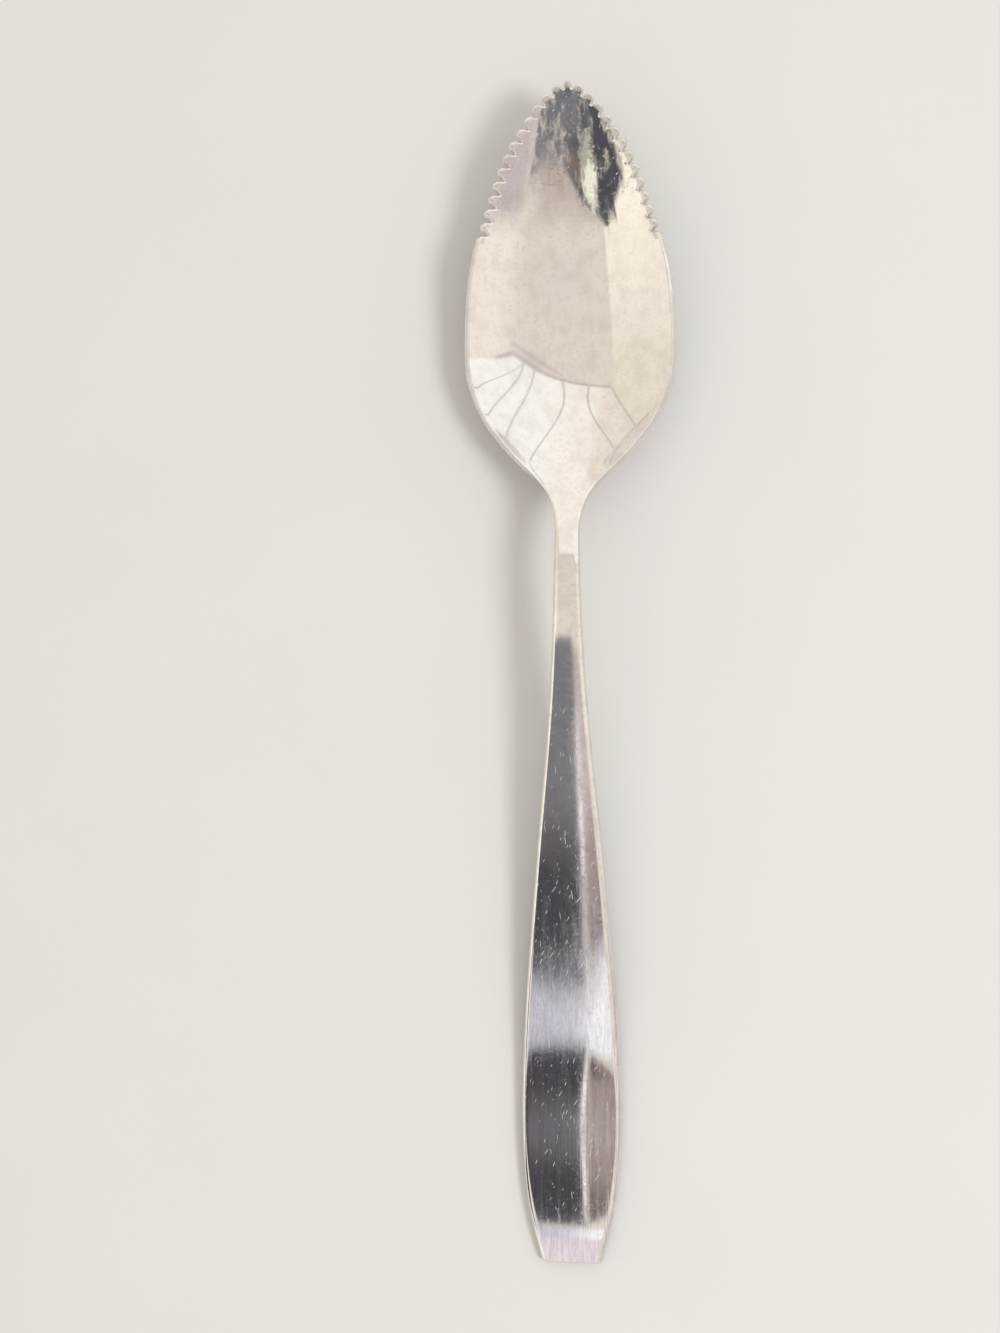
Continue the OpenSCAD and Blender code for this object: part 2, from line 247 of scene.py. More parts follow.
# The card high over the spoon, in metres. Its band edge and its border are lines through two
# places, its fades go from the first place along y to the second.
high_card_place = (0.0, -0.21, 0.6)
high_card_span = (1.4, 0.24)
high_card_turn = (math.pi, 0, 0)
dark_start_y = (-0.134, -0.146)
band_edge_places = ((-0.02, -0.304), (0.04, -0.274))
band_edge_y = -0.304
band_soft = 0.006
border_places = ((-0.15, -0.042), (-0.28, -0.018))
border_soft = 0.003
bright_line_width = (0.0045, 0.0025)
bright_line_y = (-0.18, -0.2)
right_strip_y = (-0.14, -0.19)
slate_to_deep_y = (-0.226, -0.26)
rosy_to_tan_y = (-0.222, -0.245)
tan_to_umber_y = (-0.256, -0.276)

# The upright card near the bowl, in metres along x and z: the corners of the dark shape, and
# the ovals in it as (middle, radii, slant, softness)
near_card_place = (0.0, 0.016, 0.118)
near_card_span = (0.4, 0.146)
near_card_turn = (-math.pi / 2, 0, 0)
dark_corners = ((-0.13, 0.167), (-0.0463, 0.1568), (0.0193, 0.1245))
dark_shelf = ((0.0193, 0.1285), (0.0854, 0.104))
dark_shelf_z = 0.129
dark_top_soft = 0.0012
dark_left_places = ((0.0895, -0.135), (0.0427, -0.161))
dark_left_x = -0.1305
dark_left_soft = 0.0015
dark_right_x = (0.09, 0.076)
dark_foot = ((-0.13, 0.07), (0.08, 0.096))
dark_foot_soft = 0.006
brown_oval = ((-0.026, 0.131), (0.022, 0.0055), -0.1, 0.4)
lit_oval = ((-0.076, 0.1345), (0.036, 0.0195), 0, 0.12)
lit_oval_left_x = (-0.0825, -0.0805)
light_patch = ((-0.022, 0.1155), (0.036, 0.0022), -0.05, 0.5)
light_patch_share = 0.3
dark_to_slate_x = (-0.05, 0.03)
pink_z = (0.186, 0.15)
cover_left_x = (-0.085, -0.08)
cover_right_x = (0.1, 0.035)

# The studio by direction, in degrees from straight up: side goes to the right and fore to the tip
least_flat = 1e-5
right_wall_side = (33, 52)
left_wall_side = (-34, -36)
lit_wall_fore = (-15, -1)
far_wall_fore = (-4, 9)
front_top = (40, 5)
front_top_slope = -0.175
left_corner = ((-34, 15.8), (-46.9, 42.7), (-65.1, 72.9))
corner_soft = 0.5
middle_front_side = (30, -12)
left_front_side = (-18, -32)
front_seams = (((39.7, 10.1), (54.1, 16.5), (70.5, 33.2)), ((34.5, 10.9), (46.7, 26.4), (61.3, 60.5)),
               ((24.1, 9.9), (32.8, 31.3), (47.3, 74.6)), ((2.4, 13.2), (5.6, 44.8), (28.7, 78)),
               ((-16.8, 18.7), (-22.1, 45.7), (-50.9, 78.2)), left_corner)
seam_width = (1.1, 0.3)
seam_start = (0, 1)
seam_run_out = 3
seam_share = 0.6
top_seam_side = (60, 50)
hem_drop = 2.4
hem_width = (0.9, 0.3)
hem_side = ((44, 40), (0, 10))
hem_share = 0.6
middle_side = ((-34, -28), (6, 3))
bright_band_side = (-8, 0)
band_fore = (-21.4, -22.6)
end_fore = (-24.5, -26)
rosy_side = (34, 50)
rosy_fore = (-12, -20)
far_dark_side = (-44, -47)
far_dark_slope = 0.35
far_dark_start = 0.1
far_dark_soft = 1.0
far_dark_height = (0.02, 0.1)
far_dark_fore = (-40, -33)

lamp_direction = (0.62, -0.12, 0.775)
lamp_distance = 1.0
lamp_size = 0.3
lamp_power = 5
focal_px = 1802
picture_h_px = 1333
sensor_height = 36
clip_start = 10 * MM
camera_place = (20.995 * MM, 1.166 * MM, 248.522 * MM)
camera_turn = (0.0036, 0.1249, 0.001)

# Places of the colour sockets on a Mix node
mix_share, mix_under, mix_over, mix_colour = 0, 6, 7, 2


class Curve:
    """A natural cubic curve through values at knots. A value is a number or a row of numbers."""

    def __init__(self, knots, values):
        self.knots = np.array(knots, float)
        self.values = np.array(values, float)
        count = len(self.knots)
        gap = np.diff(self.knots)
        matrix = np.eye(count)
        right = np.zeros(self.values.shape)
        for i in range(1, count - 1):
            matrix[i, i - 1 : i + 2] = gap[i - 1], 2 * (gap[i - 1] + gap[i]), gap[i]
            right[i] = 6 * ((self.values[i + 1] - self.values[i]) / gap[i]
                            - (self.values[i] - self.values[i - 1]) / gap[i - 1])
        self.bends = np.linalg.solve(matrix, right)

    def __call__(self, at):
        at = np.asarray(at, float)
        i = np.clip(np.searchsorted(self.knots, at, side="right") - 1, 0, len(self.knots) - 2)
        gap = self.knots[i + 1] - self.knots[i]
        before = (self.knots[i + 1] - at) / gap
        after = (at - self.knots[i]) / gap
        scale = gap * gap / 6
        if self.values.ndim > 1:
            before, after, scale = before[..., None], after[..., None], scale[..., None]
        return (before * self.values[i] + after * self.values[i + 1]
                + ((before**3 - before) * self.bends[i] + (after**3 - after) * self.bends[i + 1]) * scale)


def profile(*stretches):
    """A curve over the distance from the tip, of stretches (start, length, low, high, shares)."""
    rows = [(start + share[1] * length, low + share[0] * (high - low))
            for start, length, low, high, shares in stretches for share in shares]
    return Curve([row[0] for row in rows], [row[1] for row in rows])


def make_outline():
    """The outline as (half width, distance from the tip) over the run along it, from the tip."""
    right = [(share * high + (1 - share) * low, start + place * length)
             for start, length, low, high, shares in (
                 (0, bowl_l, 0, bowl_half, front_shares),
                 (0, bowl_l, neck_half, bowl_half, heel_shares),
                 (bowl_l, grip_l, neck_half, handle_half, grip_shares),
                 (bowl_l, grip_l, end_half, handle_half, end_shares))
             for share, place in shares]
    mirrored = [(-right[i][0], right[i][1]) for i in (3, 2, 1)]
    points = np.array(mirrored + right)
    run = np.concatenate([[0], np.cumsum(np.linalg.norm(np.diff(points, axis=0), axis=1))])
    return Curve(run - run[len(mirrored)], points)


outline = make_outline()
run_end = outline.knots[-1]

face_curve = profile(
    (0, bowl_l, bowl_t, tip_h, keel_shares),
    (0, bowl_l, bowl_t, arch_h, throat_shares),
    (bowl_l, grip_l, handle_t, arch_h, arch_shares),
    (bowl_l, grip_l, end_t, handle_t, end_drop_shares))
cross_curve = profile(
    (0, bowl_l, 0, 1 / bowl_half, hollow_shares),
    (bowl_l, grip_l, 0, -1 / crown_r, [(0 if i == 0 else 1, s) for i, s in enumerate(crown_shares)]))
steel_curve = profile(
    (0, bowl_l, bowl_t, tip_t, ((1, 0),)),
    (0, bowl_l, bowl_t, neck_t, stock_shares),
    (bowl_l, grip_l, handle_t, neck_t, thin_shares),
    (bowl_l, grip_l, end_t, handle_t, end_drop_shares))

# The spoon is let down until the lowest place of its back touches the table
stations = np.linspace(0, spoon_l, keel_steps)
drop = float((face_curve(stations) - steel_curve(stations)).min())


def rise(x, k):
    """Height that a curve across the spoon gains at x, k being its curvature."""
    return k * x * x / (1 + np.sqrt(1 - k * k * x * x))


def hollow_at(a):
    """Curvature across the hollow at a, or 0 where the steel is crowned."""
    return np.maximum(cross_curve(a), 0)


def face_point(x, a):
    return np.stack([x, spoon_l / 2 - a, face_curve(a) - drop + rise(x, cross_curve(a))], -1)


def back_point(x, a):
    k, t = hollow_at(a), steel_curve(a)
    level = np.sqrt(1 - (k * x) ** 2)
    return np.stack([x * (1 + k * t), spoon_l / 2 - a, face_curve(a) - drop + rise(x, k) - t * level], -1)


def corner_at(run):
    """Half width of the face, which the leaning edge of the bowl makes narrower than the back."""
    half, a = outline(run)
    return np.array([half / (1 + float(hollow_at(a) * steel_curve(a))), a])


def run_at(a):
    """The run along the outline to the place at a distance from the tip, found by halving."""
    low, high = 0.0, run_end
    for _ in range(halvings):
        middle = (low + high) / 2
        if outline(middle)[1] < a:
            low = middle
        else:
            high = middle
    return (low + high) / 2


def half_cut(corner, out, centre_a, upper_r, lower_r, inset=0.0):
    """Half a cut across the steel, from the middle of the face round the edge to the middle of the
    back. The edge at corner faces along out, and the cut starts on the middle line at centre_a."""
    corner, out = np.asarray(corner), np.asarray(out)
    lean = float(hollow_at(corner[1])) * corner[0]
    level = math.sqrt(1 - lean * lean)
    outward = np.array([out[0], out[1], out[0] * lean / level])
    outward /= np.linalg.norm(outward)
    normal = np.array([-lean, 0, level])
    down = np.array([0, 0, inset])
    upper_at = np.array([corner[0] - upper_r * outward[0], corner[1] + upper_r * outward[1]])
    lower_at = np.array([corner[0] - lower_r * outward[0], corner[1] + lower_r * outward[1]])
    upper = face_point(*upper_at) - down - upper_r * normal
    lower = back_point(*lower_at) + down + lower_r * normal
    share = np.linspace(0, 1, strips + 1)
    turn = np.radians(90 * np.arange(1, edge_steps + 1) / edge_steps)[:, None]
    inner = slice(None, None, -1)
    return np.concatenate([
        face_point(upper_at[0] * share, centre_a + (upper_at[1] - centre_a) * share) - down,
        upper + upper_r * (normal * np.cos(turn) + outward * np.sin(turn)),
        (lower + lower_r * (outward * np.sin(turn) - normal * np.cos(turn)))[inner],
        (back_point(lower_at[0] * share, centre_a + (lower_at[1] - centre_a) * share) + down)[inner]])


def blend(a, start, stop):
    """0 at start, 1 at stop and soft between."""
    share = min(max((a - start) / (stop - start), 0), 1)
    return share * share * (3 - 2 * share)


def cut_at(a, inset=0.0):
    """A flat cut square across the spoon. Near the blunt end it is drawn in by inset all round."""
    wide = corner_at(run_at(a))[0] - inset
    wall = float(steel_curve(a) + rise(wide, cross_curve(a)) - rise(wide, hollow_at(a))) - 2 * inset
    edge = bowl_edge_r + (handle_edge_r - bowl_edge_r) * blend(a, bowl_l * edge_turn_share, handle_at)
    return half_cut((wide, a), (1, 0), a,
                    min(edge, upper_edge_share * wall), min(edge, lower_edge_share * wall), inset)


def whole_cut(half):
    """A closed loop round the steel, from the middle of the back over the face and back."""
    mirrored = half * (-1, 1, 1)
    return np.concatenate([half[::-1], mirrored[1:]])


def toothed_edge():
    """The toothed edge of the right side: each point's corner, the direction it faces, how deep it
    lies in a notch, and how far from the tip the edge would be there without its notches."""
    shoulder_run = run_at(shoulder_at)
    runs = np.linspace(0, shoulder_run, toothed_steps)
    corners = np.array([corner_at(run) for run in runs])
    along_edge = np.concatenate([[0], np.cumsum(np.linalg.norm(np.diff(corners, axis=0), axis=1))])
    toothed_run = float(np.interp(run_at(toothed_l), runs, along_edge))
    pitch = toothed_run / (tooth_n + 1)
    root_drop = tooth_depth - root_r - crest_r
    flank_turn = math.pi / 2 - (math.atan2(pitch / 2, root_drop)
                                - math.asin((root_r + crest_r) / math.hypot(pitch / 2, root_drop)))
    crest = [(crest_r * math.sin(q), crest_r * (1 - math.cos(q)), q)
             for q in np.linspace(0, flank_turn, crest_steps + 1)]
    root = [(pitch / 2 - root_r * math.sin(q), tooth_depth - root_r * (1 - math.cos(q)), q)
            for q in np.linspace(flank_turn, 0, root_steps + 1)]
    flank = [tuple(np.array(crest[-1]) + (np.array(root[0]) - crest[-1]) * i / (flank_steps + 1))
             for i in range(1, flank_steps + 1)]
    half_tooth = crest + flank + root

    def point(place, depth, turn):
        run = np.interp(place, along_edge, runs)
        corner = corner_at(run)
        probe = shoulder_run * probe_share
        step = corner_at(run + probe) - corner_at(run - probe)
        along = np.array([step[0], -step[1]]) / np.linalg.norm(step)
        square = np.array([-along[1], along[0]])
        return ((corner[0] - depth * square[0], corner[1] + depth * square[1]),
                square * math.cos(turn) + along * math.sin(turn), depth, corner[1])

    points = []
    for i in range(tooth_n + 1):
        points += [point(i * pitch + run, depth, turn) for run, depth, turn in half_tooth]
        points += [point((i + 1) * pitch - run, depth, -turn) for run, depth, turn in half_tooth[-2:0:-1]]
    points.append(point(toothed_run, 0, 0))
    return points


def tip_ribs():
    """Cuts that fan out over the tip, from the left shoulder round the tip to the right one, and
    for each point how far it lies inside the line of the crests."""
    ribs, depths = [], []
    for corner, out, depth, plain_a in toothed_edge():
        share = (shoulder_at - plain_a) / shoulder_at
        centre_a = shoulder_at * (1 - focus_share * share)
        rib = half_cut(corner, out, centre_a, tooth_edge_r, bowl_edge_r)
        ribs.append(rib)
        depths.append(depth + np.linalg.norm(rib - rib[strips + edge_steps], axis=1))
    ribs.append(cut_at(shoulder_at))
    depths.append(depths[-1])
    return (np.array([rib * (-1, 1, 1) for rib in ribs[:0:-1]] + ribs),
            np.array(depths[:0:-1] + depths))


def cuts_between(start, stop, rows):
    return np.array([whole_cut(cut_at(a)) for a in np.linspace(start, stop, rows + 1)])


def end_cuts():
    """Cuts of the handle's end, the last of them drawn in along a quarter round."""
    straight = np.linspace(end_at, spoon_l - end_edge_r, end_rows + 1)[:-1]
    turns = np.radians(np.linspace(0, 90, end_steps + 1))
    return np.array([whole_cut(cut_at(a)) for a in straight] + [
        whole_cut(cut_at(spoon_l - end_edge_r * (1 - math.sin(q)), end_edge_r * (1 - math.cos(q))))
        for q in turns])


def press(name, points, depths=None):
    """A flat sheet, one cell for each step of points, pressed onto them and welded into a skin.
    Depths from the line of the crests are kept with the points, in millimetres."""
    rows, columns = points.shape[0] - 1, points.shape[1] - 1
    bpy.ops.object.select_all(action="DESELECT")
    bpy.ops.mesh.primitive_grid_add(x_subdivisions=columns, y_subdivisions=rows, size=1)
    piece = bpy.context.object
    piece.name = piece.data.name = name
    flat = np.empty(len(piece.data.vertices) * 3)
    piece.data.vertices.foreach_get("co", flat)
    flat = flat.reshape(-1, 3)
    column = np.rint((flat[:, 0] + 0.5) * columns).astype(int)
    row = np.rint((flat[:, 1] + 0.5) * rows).astype(int)
    piece.data.vertices.foreach_set("co", points[row, column].ravel())
    if depths is not None:
        kept = piece.data.attributes.new("tooth_depth", "FLOAT", "POINT")
        kept.data.foreach_set("value", depths[row, column] / MM)
    bpy.ops.object.mode_set(mode="EDIT")
    bpy.ops.mesh.select_all(action="SELECT")
    bpy.ops.mesh.remove_doubles(threshold=weld_gap)
    bpy.ops.mesh.dissolve_degenerate(threshold=weld_gap)
    bpy.ops.mesh.select_all(action="DESELECT")
    bpy.ops.mesh.select_mode(type="EDGE")
    bpy.ops.mesh.select_non_manifold(extend=False)
    bpy.ops.object.mode_set(mode="OBJECT")
    return piece


def close_ends(piece):
    """Fills the open ends of a skin, a face each, and turns all faces outward."""
    bpy.ops.object.mode_set(mode="EDIT")
    bpy.ops.mesh.edge_face_add()
    bpy.ops.mesh.select_all(action="SELECT")
    bpy.ops.mesh.normals_make_consistent(inside=False)
    bpy.ops.object.mode_set(mode="OBJECT")
    bpy.ops.object.shade_smooth()
    return piece


tip = close_ends(press("toothed_tip", *tip_ribs()))
bowl = close_ends(press("dished_bowl", cuts_between(shoulder_at, neck_at, bowl_rows)))
neck = close_ends(press("arched_neck", cuts_between(neck_at, handle_at, neck_rows)))
handle = close_ends(press("flat_handle", cuts_between(handle_at, end_at, handle_rows)))
handle_end = close_ends(press("blunt_end", end_cuts()))
pieces = {"serrated_tip": tip, "bowl": bowl, "neck": neck, "handle": handle, "handle_end": handle_end}


def share_normals(skins):
    """Lets the shading run on over the seams: faces of two skins that meet share their normals."""
    corners, normals, weights, walls = [], [], [], []
    for skin in skins:
        mesh = skin.data
        face_of_loop = np.repeat(np.arange(len(mesh.polygons)), [face.loop_total for face in mesh.polygons])
        wall = np.array([face.loop_total <= sheet_corners for face in mesh.polygons])[face_of_loop]
        area = np.array([face.area for face in mesh.polygons])[face_of_loop]
        normal = np.array([face.normal for face in mesh.polygons])[face_of_loop]
        index = np.array([loop.vertex_index for loop in mesh.loops])
        place_of_vertex = np.array([vertex.co for vertex in mesh.vertices])
        corners.append(place_of_vertex[index])
        normals.append(normal)
        weights.append(area)
        walls.append(wall)
    counts = [len(corner) for corner in corners]
    corners, normals = np.concatenate(corners), np.concatenate(normals)
    weights, walls = np.concatenate(weights), np.concatenate(walls)
    _, group = np.unique(np.rint(corners / seam_grid).astype(np.int64), axis=0, return_inverse=True)
    group = group.ravel()
    sums = np.zeros((group.max() + 1, 3))
    np.add.at(sums, group[walls], normals[walls] * weights[walls, None])
    shared = normals.copy()
    shared[walls] = sums[group[walls]]
    shared /= np.linalg.norm(shared, axis=1)[:, None]
    start = 0
    for skin, count in zip(skins, counts):
        skin.data.normals_split_custom_set(shared[start : start + count].tolist())
        start += count


share_normals(list(pieces.values()))


def wire(tree, target, source):
    """Joins a source to a target socket, or sets the target to a plain value."""
    if isinstance(source, bpy.types.NodeSocket):
        tree.links.new(source, target)
    else:
        target.default_value = source


def reckon(tree, operation, *values):
    step = tree.nodes.new("ShaderNodeMath")
    step.operation = operation
    for i, value in enumerate(values):
        wire(tree, step.inputs[i], value)
    return step.outputs[0]


def move(tree, operation, *values):
    """A step of vector reckoning. Its second value is a vector, or a number for a scale."""
    step = tree.nodes.new("ShaderNodeVectorMath")
    step.operation = operation
    wire(tree, step.inputs[0], values[0])
    if len(values) > 1:
        wire(tree, step.inputs["Scale" if operation == "SCALE" else 1], values[1])
    return step.outputs["Vector"]


def fade(tree, value, start, stop, low=0.0, high=1.0):
    """Goes softly from low to high while value goes from start to stop."""
    step = tree.nodes.new("ShaderNodeMapRange")
    step.interpolation_type = "SMOOTHSTEP"
    for name, given in (("Value", value), ("From Min", start), ("From Max", stop),
                        ("To Min", low), ("To Max", high)):
        wire(tree, step.inputs[name], given)
    return step.outputs["Result"]


def add_share(tree, value, share, start):
    """Adds a share of value to start."""
    return reckon(tree, "MULTIPLY_ADD", value, share, start)


def both(tree, *masks):
    """The product of masks or shares."""
    result = masks[0]
    for mask in masks[1:]:
        result = reckon(tree, "MULTIPLY", result, mask)
    return result


def tint(tree, share, under, over):
    """The colour over laid on the colour under where share is 1."""
    step = tree.nodes.new("ShaderNodeMix")
    step.data_type = "RGBA"
    wire(tree, step.inputs[mix_share], share)
    for i, colour in ((mix_under, under), (mix_over, over)):
        wire(tree, step.inputs[i], colour if isinstance(colour, bpy.types.NodeSocket) else (*colour, 1))
    return step.outputs[mix_colour]


def new_group(name, given, result):
    """A node group with number inputs, a vector input and one number output."""
    group = bpy.data.node_groups.new(name, "ShaderNodeTree")
    group.interface.new_socket("Vector", in_out="INPUT", socket_type="NodeSocketVector")
    for socket_name in given:
        group.interface.new_socket(socket_name, in_out="INPUT", socket_type="NodeSocketFloat")
    group.interface.new_socket(result, in_out="OUTPUT", socket_type="NodeSocketFloat")
    return group, group.nodes.new("NodeGroupInput").outputs, group.nodes.new("NodeGroupOutput").inputs[0]


def stretch(tree, vector, across, along):
    """Scales a place so that one unit is a cell of 1/across by 1/along metres by 1/across."""
    step = tree.nodes.new("ShaderNodeCombineXYZ")
    for i, value in enumerate((across, along, across)):
        wire(tree, step.inputs[i], value)
    return move(tree, "MULTIPLY", vector, step.outputs[0])


def brushing_group():
    """Fine lines along the spoon, from 0 to 1, as a brush wheel leaves them."""
    group, given, result = new_group("brushing", ("Lines across", "Lines along", "Unevenness"), "Lines")
    noise = group.nodes.new("ShaderNodeTexNoise")
    stretched = stretch(group, given["Vector"], given["Lines across"], given["Lines along"])
    wire(group, noise.inputs["Vector"], stretched)
    noise.inputs["Scale"].default_value = 1
    noise.inputs["Detail"].default_value = brushing_detail
    wire(group, noise.inputs["Roughness"], given["Unevenness"])
    group.links.new(noise.outputs["Fac"], result)
    return group


def scratches_group():
    """Scattered thin straight scratches: 1 on a scratch, 0 beside it."""
    group, given, result = new_group(
        "scratches", ("Turn", "Cells across", "Cells along", "Width", "Share"), "Scratch")
    turned = group.nodes.new("ShaderNodeVectorRotate")
    turned.rotation_type = "Z_AXIS"
    wire(group, turned.inputs["Vector"], given["Vector"])
    wire(group, turned.inputs["Angle"], given["Turn"])
    cells = group.nodes.new("ShaderNodeTexVoronoi")
    cells.voronoi_dimensions = "2D"
    wire(group, cells.inputs["Vector"],
         stretch(group, turned.outputs[0], given["Cells across"], given["Cells along"]))
    cells.inputs["Scale"].default_value = 1
    parts = group.nodes.new("ShaderNodeSeparateColor")
    group.links.new(cells.outputs["Color"], parts.inputs[0])
    chosen = reckon(group, "LESS_THAN", parts.outputs[0], given["Share"])
    thin = add_share(group, parts.outputs[1], 1 - thinnest_share, thinnest_share)
    thin = both(group, given["Width"], thin)
    line = fade(group, cells.outputs["Distance"], thin, both(group, thin, core_share))
    group.links.new(both(group, chosen, line), result)
    return group


def smudges_group():
    """Soft uneven patches, from 0 to 1, as wiping and handling leave them."""
    group, given, result = new_group("smudges", ("Patches", "Threshold", "Softness"), "Smudge")
    noise = group.nodes.new("ShaderNodeTexNoise")
    wire(group, noise.inputs["Vector"], given["Vector"])
    wire(group, noise.inputs["Scale"], given["Patches"])
    noise.inputs["Detail"].default_value = smudge_detail
    noise.inputs["Roughness"].default_value = smudge_unevenness
    group.links.new(fade(group, noise.outputs["Fac"], given["Threshold"],
                         reckon(group, "ADD", given["Threshold"], given["Softness"])), result)
    return group


brushing = brushing_group()
scratches = scratches_group()
smudges = smudges_group()


def place(tree, group, vector, **values):
    """Puts a shared effect into a material, with this material's own values."""
    step = tree.nodes.new("ShaderNodeGroup")
    step.node_tree = group
    tree.links.new(vector, step.inputs["Vector"])
    for name, value in values.items():
        wire(tree, step.inputs[name.replace("_", " ")], value)
    return step.outputs[0]


def bump(tree, height, distance, under=None):
    """Raises the surface by distance, in metres, where height is 1, over the relief under it."""
    step = tree.nodes.new("ShaderNodeBump")
    step.inputs["Strength"].default_value = 1
    step.inputs["Distance"].default_value = distance
    tree.links.new(height, step.inputs["Height"])
    if under is not None:
        tree.links.new(under, step.inputs["Normal"])
    return step.outputs["Normal"]


def new_steel(name):
    """A metal material: its tree, its shader and the place on the spoon."""
    material = bpy.data.materials.new(name)
    material.use_nodes = True
    tree = material.node_tree
    steel = tree.nodes["Principled BSDF"]
    steel.inputs["Metallic"].default_value = 1
    spot = tree.nodes.new("ShaderNodeTexCoord").outputs["Object"]
    return material, tree, steel, spot


def give_finish(tree, steel, roughness, tone, relief):
    wire(tree, steel.inputs["Roughness"], roughness)
    wire(tree, steel.inputs["Base Color"], tone)
    wire(tree, steel.inputs["Normal"], relief)


def along_spoon(tree, spot, start, stop):
    """0 before start and 1 past stop, both distances from the tip."""
    parts = tree.nodes.new("ShaderNodeSeparateXYZ")
    tree.links.new(spot, parts.inputs[0])
    return fade(tree, parts.outputs["Y"], spoon_l / 2 - start, spoon_l / 2 - stop)


def gathered(tree, worn, busy, calm_share):
    """Wear that is full in the busy places and thins to calm_share between them."""
    return both(tree, worn, add_share(tree, busy, 1 - calm_share, calm_share))


def polish(tree, spot):
    """The finish that runs over the whole spoon: its roughness, its tone and its relief."""
    haze = place(tree, smudges, spot, Patches=90, Threshold=0.4, Softness=0.35)
    lines = place(tree, brushing, spot, Lines_across=2600, Lines_along=60, Unevenness=0.55)
    nicks = place(tree, scratches, spot,
                  Turn=0.5, Cells_across=1300, Cells_along=500, Width=0.09, Share=0.07)
    cuts = place(tree, scratches, spot,
                 Turn=-0.25, Cells_across=1200, Cells_along=130, Width=0.06, Share=0.1)
    worn = reckon(tree, "MAXIMUM", nicks, cuts)
    roughness = add_share(tree, haze, haze_roughness, polish_roughness)
    roughness = add_share(tree, lines, line_roughness, roughness)
    roughness = add_share(tree, worn, wear_roughness, roughness)
    mottle = place(tree, smudges, spot, Patches=420, Threshold=0.42, Softness=0.25)
    spots = place(tree, smudges, spot, Patches=1700, Threshold=0.5, Softness=0.2)
    tone = tint(tree, haze, polished_tone, hazed_tone)
    tone = tint(tree, both(tree, mottle, mottle_share), tone, mottled_tone)
    tone = tint(tree, both(tree, spots, spot_share), tone, mottled_tone)
    relief = bump(tree, lines, line_height)
    relief = bump(tree, worn, wear_height, relief)
    return roughness, tone, relief


def polished_steel():
    material, tree, steel, spot = new_steel("polished_steel")
    give_finish(tree, steel, *polish(tree, spot))
    return material


def ground_steel():
    """Towards the tip the polish is worn and shows the lines of the grinding wheel."""
    material, tree, steel, spot = new_steel("ground_steel")
    roughness, tone, relief = polish(tree, spot)
    forward = along_spoon(tree, spot, toothed_l, toothed_l * ground_share)
    lines = place(tree, brushing, spot, Lines_across=3000, Lines_along=90, Unevenness=0.6)
    coarse = place(tree, brushing, spot, Lines_across=1300, Lines_along=60, Unevenness=0.5)
    pits = place(tree, smudges, spot, Patches=1500, Threshold=0.52, Softness=0.12)
    patches = place(tree, smudges, spot, Patches=260, Threshold=0.45, Softness=0.2)
    busy = place(tree, smudges, spot, Patches=230, Threshold=0.42, Softness=0.2)
    nicks = place(tree, scratches, spot,
                  Turn=0.9, Cells_across=1700, Cells_along=650, Width=0.17, Share=0.28)
    cuts = place(tree, scratches, spot,
                 Turn=0.1, Cells_across=1800, Cells_along=240, Width=0.1, Share=0.2)
    worn = gathered(tree, reckon(tree, "MAXIMUM", nicks, cuts), busy, calm_tip_share)
    streak = fade(tree, coarse, *wheel_streaks)
    kept = tree.nodes.new("ShaderNodeAttribute")
    kept.attribute_name = "tooth_depth"
    teeth = fade(tree, kept.outputs["Fac"], *tooth_rim_mm)
    roughness = add_share(tree, both(tree, forward, streak), wheel_roughness, roughness)
    roughness = add_share(tree, both(tree, forward, pits, patches), pit_roughness, roughness)
    roughness = add_share(tree, both(tree, forward, worn), tip_wear_roughness, roughness)
    roughness = add_share(tree, teeth, tooth_roughness, roughness)
    relief = bump(tree, both(tree, lines, forward), wheel_line_height, relief)
    relief = bump(tree, both(tree, coarse, forward), wheel_groove_height, relief)
    relief = bump(tree, both(tree, pits, patches, forward), pit_height, relief)
    relief = bump(tree, both(tree, worn, forward), tip_wear_height, relief)
    give_finish(tree, steel, roughness, tone, relief)
    return material


